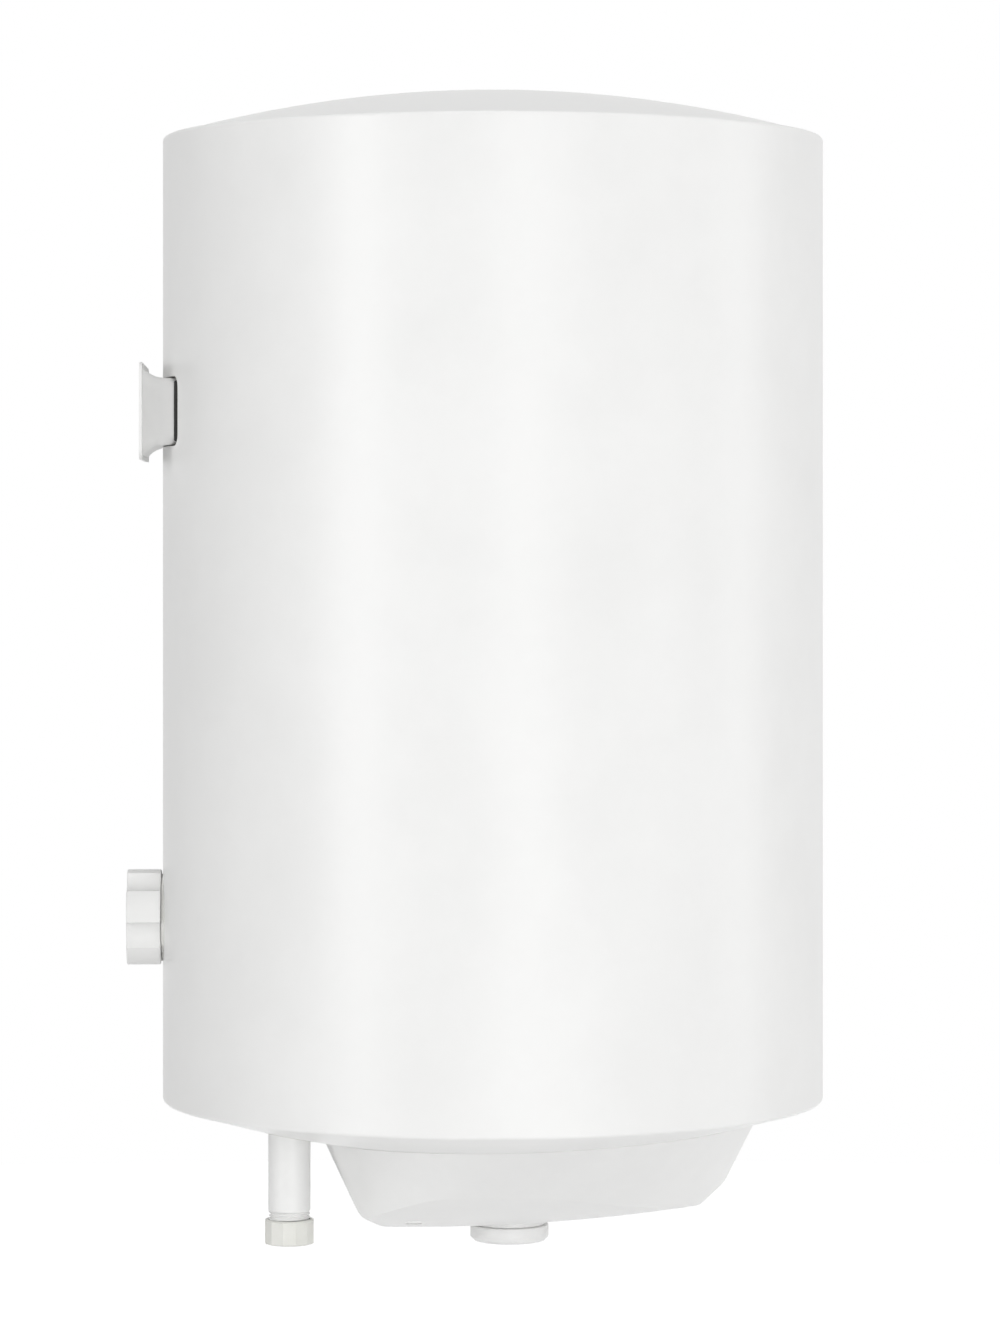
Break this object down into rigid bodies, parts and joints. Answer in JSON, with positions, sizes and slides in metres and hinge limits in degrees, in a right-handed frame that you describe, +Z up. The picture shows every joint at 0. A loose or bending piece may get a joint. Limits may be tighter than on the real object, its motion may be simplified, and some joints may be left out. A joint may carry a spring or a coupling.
{
  "type": "tank water heater",
  "caption": "Wall-hung cylindrical electric storage water heater with a service cover and temperature knob underneath, two water pipes, one of them capped, a keyhole bracket and a screw-out wall spacer.",
  "frame": {"origin": "middle of the keyhole pattern, on the wall face of the bracket plate", "axes": "+Z up along the tank, +Y towards the wall, -Y the front, +X to the right as seen from the front"},
  "size_m": [0.34, 0.3582, 0.5911],
  "materials": {
    "casing_enamel": "smooth baked white enamel on sheet steel",
    "end_cap_enamel": "smooth baked white enamel on sheet steel",
    "bracket_enamel": "white powder coat on pressed steel",
    "cover_plastic": "moulded white plastic, fine satin grain",
    "spacer_plastic": "moulded white plastic",
    "knob_plastic": "moulded white plastic",
    "thread_cap_plastic": "moulded off-white polyethylene",
    "pipe_steel": "white coated steel pipe",
    "tank_steel": "glass enamel on sheet steel",
    "raw_steel": "mill finish",
    "zinc_steel": "bright zinc plate",
    "foam": "rigid polyurethane foam",
    "copper": "drawn copper tube",
    "brass": "turned brass",
    "magnesium": "cast rod",
    "rubber": "moulded black rubber",
    "white_rubber": "moulded white rubber",
    "black_plastic": "moulded black phenolic",
    "red_plastic": "moulded red plastic",
    "natural_plastic": "extruded plastic",
    "lamp_red": "clear red lens"
  },
  "bodies": {
    "heater": {"anode_nut": "zinc_steel", "anode_rod": "magnesium", "anode_stud": "zinc_steel", "bottom_cover": "cover_plastic", "bottom_end_cap": "end_cap_enamel", "bracket_plate": "bracket_enamel", "bracket_saddle": "raw_steel", "bracket_trunk": "bracket_enamel", "cable_grommet": "white_rubber", "cold_inlet_pipe": "pipe_steel", "cover_posts": "zinc_steel", "cover_screws": "zinc_steel", "earth_screw": "brass", "element_terminals": "brass", "flange_collar": "raw_steel", "flange_gasket": "rubber", "flange_nuts": "zinc_steel", "flange_studs": "zinc_steel", "foam_insulation": "foam", "heater_flange": "zinc_steel", "heating_element": "copper", "hot_outlet_pipe": "pipe_steel", "hot_riser": "natural_plastic", "inlet_diffuser": "natural_plastic", "internal_leads": "rubber", "lamp_lens": "lamp_red", "outer_casing": "casing_enamel", "pipe_seals": "white_rubber", "power_lamp": "black_plastic", "spacer_nut": "natural_plastic", "tank_lower_head": "tank_steel", "tank_shell": "tank_steel", "tank_upper_head": "tank_steel", "terminal_block": "natural_plastic", "terminal_screws": "brass", "thermostat_body": "black_plastic", "thermostat_pocket": "copper", "thermostat_probe": "brass", "top_end_cap": "end_cap_enamel"},
    "knob": {"temperature_knob": "knob_plastic", "thermostat_spindle": "brass"},
    "reset": {"reset_button": "red_plastic"},
    "spacer_screw": {"spacer_stem": "spacer_plastic"},
    "spacer": {"wall_spacer": "spacer_plastic"},
    "hot_cap": {"hot_thread_cap": "thread_cap_plastic"}
  },
  "joints": [
    {"name": "knob_turn", "type": "hinge", "parent": "heater", "child": "knob", "pos_m": [0, -0.189, -0.418], "axis": [0, 0, -1], "range_deg": [0, 270]},
    {"name": "reset_press", "type": "slide", "parent": "heater", "child": "reset", "axis": [0, 0, 1], "range_m": [0, 0.002], "stiffness_N_per_m": 400, "springref_m": -0.001},
    {"name": "spacer_slide", "type": "slide", "parent": "heater", "child": "spacer_screw", "axis": [0, 1, 0], "range_m": [0, 0.012]},
    {"name": "spacer_turn", "type": "hinge", "parent": "spacer_screw", "child": "spacer", "pos_m": [0, 0.0077, -0.2594], "axis": [0, 1, 0], "range_deg": [0, 1080]},
    {"name": "hot_cap_pull", "type": "slide", "parent": "heater", "child": "hot_cap", "axis": [0, 0, -1], "range_m": [0, 0.06]}
  ],
  "couplings": [
    {"joint": "spacer_slide", "follows": "spacer_turn", "m_per_rad": 0.0006366}
  ]
}
